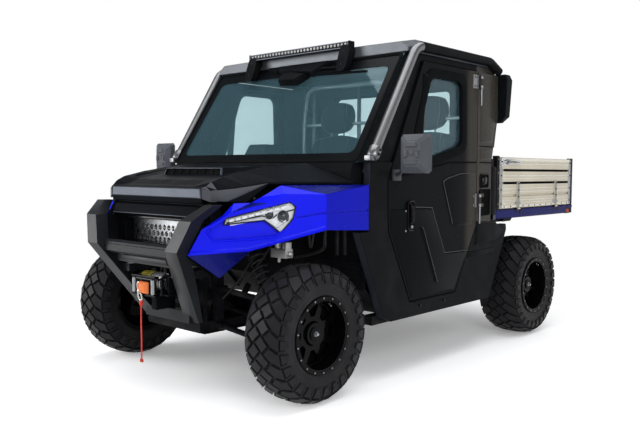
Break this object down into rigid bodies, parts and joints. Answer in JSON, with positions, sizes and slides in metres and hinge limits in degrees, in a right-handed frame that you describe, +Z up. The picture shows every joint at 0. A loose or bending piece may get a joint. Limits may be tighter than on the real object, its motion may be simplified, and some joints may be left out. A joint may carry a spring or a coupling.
{
  "type": "utility terrain vehicle",
  "caption": "Closed-cab utility terrain vehicle with rear-hinged doors, lifting hood, steered front wheels and a tipping drop-side bed on coil-sprung wheels.",
  "frame": {"origin": "centre of the footprint, on the ground under the tyres", "axes": "+X towards the vehicle's left side, +Y towards its rear, +Z up; the front faces -Y"},
  "size_m": [2.278, 3.519, 1.901],
  "materials": {
    "tyre": "matt rubber with open block tread",
    "black_rim": "gloss black paint on a cast wheel, bright ring bolts",
    "dark_steel": "satin black powder coat",
    "frame_black": "satin black powder coat",
    "steel": "bright machined steel",
    "cast_metal": "rough casting",
    "black_plastic": "fine grained moulded plastic",
    "seat_cover": "black vinyl with seams",
    "silver_paint": "silver-grey metallic paint",
    "dark_grey_gloss": "dark grey gloss moulding",
    "blue_gloss": "royal blue gloss moulding",
    "glass": "clear safety glass, lightly tinted",
    "mirror_housing": "grey moulded shell",
    "lamp_clear": "clear moulded lens over reflectors",
    "lamp_red": "red moulded lens",
    "black_metal": "black stamped mesh and winch paint",
    "strap_red": "woven red webbing",
    "bed_black": "satin black coat",
    "gate_aluminium": "brushed extruded boards"
  },
  "bodies": {
    "chassis": {"chassis_frame": "frame_black", "side_rails": "frame_black", "subframes": "frame_black", "bed_subframe": "frame_black", "hitch_receiver": "frame_black", "engine_block": "cast_metal", "drive_line": "steel", "muffler": "steel", "suspension_arms": "dark_steel", "shock_absorbers": "steel", "steering_rack": "dark_steel", "cab_frame": "silver_paint", "cab_tub": "black_plastic", "dashboard": "black_plastic", "seats": "seat_cover", "roof": "silver_paint", "cab_glass": "glass", "rear_shell": "dark_grey_gloss", "rocker_panels": "black_plastic", "front_fenders": "blue_gloss", "front_liner": "black_plastic", "headlights": "lamp_clear", "front_fascia": "black_plastic", "grille_mesh": "black_metal", "bumper_guard": "black_plastic", "winch": "black_metal", "hook_strap": "strap_red", "light_bar": "black_plastic", "wiper": "black_plastic", "intake_box": "dark_grey_gloss"},
    "hood": {"hood": "black_plastic"},
    "left_door": {"left_door": "dark_grey_gloss", "left_door_glass": "glass", "left_mirror": "mirror_housing"},
    "right_door": {"right_door": "dark_grey_gloss", "right_door_glass": "glass", "right_mirror": "mirror_housing"},
    "bed": {"bed_tray": "bed_black", "bed_headboard": "bed_black", "tail_lights": "lamp_red"},
    "left_side_gate": {"left_side_gate": "gate_aluminium"},
    "right_side_gate": {"right_side_gate": "gate_aluminium"},
    "tailgate": {"tailgate": "gate_aluminium"},
    "strut_barrel": {"strut_barrel": "dark_steel"},
    "strut_rod": {"strut_rod": "steel"},
    "left_knuckle": {"left_knuckle": "dark_steel"},
    "right_knuckle": {"right_knuckle": "dark_steel"},
    "tie_rods": {"tie_rods": "dark_steel"},
    "steering_wheel": {"steering_wheel": "black_plastic"},
    "front_left_wheel": {"front_left_tyre": "tyre", "front_left_rim": "black_rim"},
    "front_right_wheel": {"front_right_tyre": "tyre", "front_right_rim": "black_rim"},
    "rear_left_wheel": {"rear_left_tyre": "tyre", "rear_left_rim": "black_rim"},
    "rear_right_wheel": {"rear_right_tyre": "tyre", "rear_right_rim": "black_rim"}
  },
  "joints": [
    {"name": "left_steer", "type": "hinge", "parent": "chassis", "child": "left_knuckle", "pos_m": [0.585, -1.21, 0.343], "axis": [0, 0, 1], "range_deg": [-30, 30]},
    {"name": "right_steer", "type": "hinge", "parent": "chassis", "child": "right_knuckle", "pos_m": [-0.585, -1.21, 0.343], "axis": [0, 0, 1], "range_deg": [-30, 30]},
    {"name": "tie_rod_slide", "type": "slide", "parent": "chassis", "child": "tie_rods", "axis": [-1, 0, 0], "range_m": [-0.0645, 0.0645]},
    {"name": "steering_wheel_turn", "type": "hinge", "parent": "chassis", "child": "steering_wheel", "pos_m": [0.37, -0.37, 1.01], "axis": [0, 0.8192, 0.5736], "range_deg": [-272, 272]},
    {"name": "front_left_spin", "type": "hinge", "parent": "left_knuckle", "child": "front_left_wheel", "pos_m": [0.74, -1.21, 0.343], "axis": [1, 0, 0], "continuous": true},
    {"name": "front_right_spin", "type": "hinge", "parent": "right_knuckle", "child": "front_right_wheel", "pos_m": [-0.74, -1.21, 0.343], "axis": [1, 0, 0], "continuous": true},
    {"name": "rear_left_spin", "type": "hinge", "parent": "chassis", "child": "rear_left_wheel", "pos_m": [0.74, 1.005, 0.343], "axis": [1, 0, 0], "continuous": true},
    {"name": "rear_right_spin", "type": "hinge", "parent": "chassis", "child": "rear_right_wheel", "pos_m": [-0.74, 1.005, 0.343], "axis": [1, 0, 0], "continuous": true},
    {"name": "left_door_hinge", "type": "hinge", "parent": "chassis", "child": "left_door", "pos_m": [0.838, 0.275, 1.33], "axis": [0, 0, 1], "range_deg": [0, 75]},
    {"name": "right_door_hinge", "type": "hinge", "parent": "chassis", "child": "right_door", "pos_m": [-0.838, 0.275, 1.33], "axis": [0, 0, -1], "range_deg": [0, 75]},
    {"name": "hood_hinge", "type": "hinge", "parent": "chassis", "child": "hood", "pos_m": [0, -0.905, 1.15], "axis": [-1, 0, 0], "range_deg": [0, 45]},
    {"name": "bed_tip", "type": "hinge", "parent": "chassis", "child": "bed", "pos_m": [0, 1.62, 0.775], "axis": [-1, 0, 0], "range_deg": [0, 40]},
    {"name": "left_gate_hinge", "type": "hinge", "parent": "bed", "child": "left_side_gate", "pos_m": [0.807, 1.17, 0.889], "axis": [0, 1, 0], "range_deg": [0, 110]},
    {"name": "right_gate_hinge", "type": "hinge", "parent": "bed", "child": "right_side_gate", "pos_m": [-0.807, 1.17, 0.889], "axis": [0, -1, 0], "range_deg": [0, 110]},
    {"name": "tailgate_hinge", "type": "hinge", "parent": "bed", "child": "tailgate", "pos_m": [0, 1.771, 0.889], "axis": [-1, 0, 0], "range_deg": [0, 100]},
    {"name": "strut_pivot", "type": "hinge", "parent": "chassis", "child": "strut_barrel", "pos_m": [0.2, 1.42, 0.52], "axis": [-1, 0, 0], "range_deg": [0, 20.5]},
    {"name": "strut_slide", "type": "slide", "parent": "strut_barrel", "child": "strut_rod", "axis": [0, -0.3939, 0.9191], "range_m": [0, 0.186]}
  ],
  "couplings": [
    {"joint": "right_steer", "follows": "left_steer", "ratio": 1},
    {"joint": "tie_rod_slide", "follows": "left_steer", "m_per_rad": 0.12},
    {"joint": "steering_wheel_turn", "follows": "left_steer", "ratio": 9},
    {"joint": "strut_pivot", "follows": "bed_tip", "ratio": 0.493},
    {"joint": "strut_slide", "follows": "bed_tip", "m_per_rad": 0.26}
  ]
}
